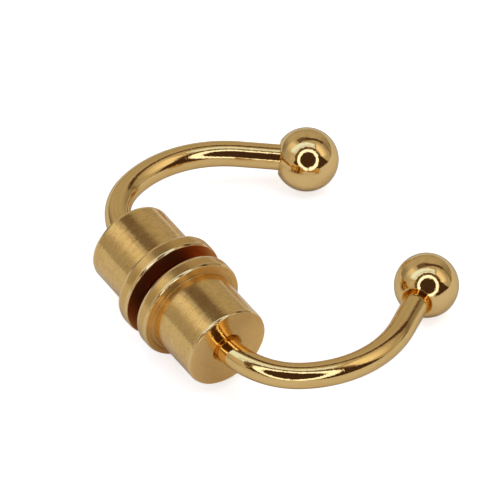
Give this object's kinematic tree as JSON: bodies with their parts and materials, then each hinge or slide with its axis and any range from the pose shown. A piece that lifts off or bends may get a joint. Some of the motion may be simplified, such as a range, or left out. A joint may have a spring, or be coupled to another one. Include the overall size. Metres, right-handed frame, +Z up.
{
  "type": "open-ring disentanglement puzzle",
  "caption": "Open metal ring puzzle: bent rod arms with ball ends on a two-part turned barrel whose halves swivel and pull apart against a spring.",
  "frame": {"origin": "centre of the bounding box's base, on the surface that the two collars and two balls lie on", "axes": "+X along the barrel's axis towards the half that holds the spring, +Y from the barrel towards the balls, +Z up from the surface"},
  "size_m": [0.0706, 0.061, 0.0217],
  "materials": {
    "polished_gold": "mirror-polished gold-coloured brass",
    "satin_gold": "satin, finely turned gold-coloured brass",
    "core_gold": "bright turned brass",
    "bronze": "bearing bronze, oiled",
    "plated_steel": "nickel-plated steel",
    "spring_steel": "oiled spring steel"
  },
  "bodies": {
    "left_half": {"left_barrel": "satin_gold", "left_plug": "core_gold", "left_arm": "polished_gold", "left_arm_washer": "spring_steel", "left_arm_nut": "plated_steel", "left_ball": "polished_gold", "spindle": "plated_steel", "spindle_dowel": "plated_steel", "friction_washer": "bronze", "retaining_washer": "plated_steel", "spindle_nut": "plated_steel"},
    "spring_pack": {"return_spring": "spring_steel", "thrust_ring": "bronze"},
    "right_half": {"right_barrel": "satin_gold", "right_plug": "core_gold", "spindle_bush": "bronze", "right_arm": "polished_gold", "right_arm_washer": "spring_steel", "right_arm_nut": "plated_steel", "right_ball": "polished_gold"}
  },
  "joints": [
    {"name": "barrel_swivel", "type": "hinge", "parent": "left_half", "child": "spring_pack", "pos_m": [0, -0.01968, 0.01085], "axis": [1, 0, 0], "continuous": true},
    {"name": "barrel_pull", "type": "slide", "parent": "spring_pack", "child": "right_half", "axis": [1, 0, 0], "range_m": [0, 0.002], "stiffness_N_per_m": 1500, "springref_m": -0.004, "deforming": ["return_spring"]}
  ]
}
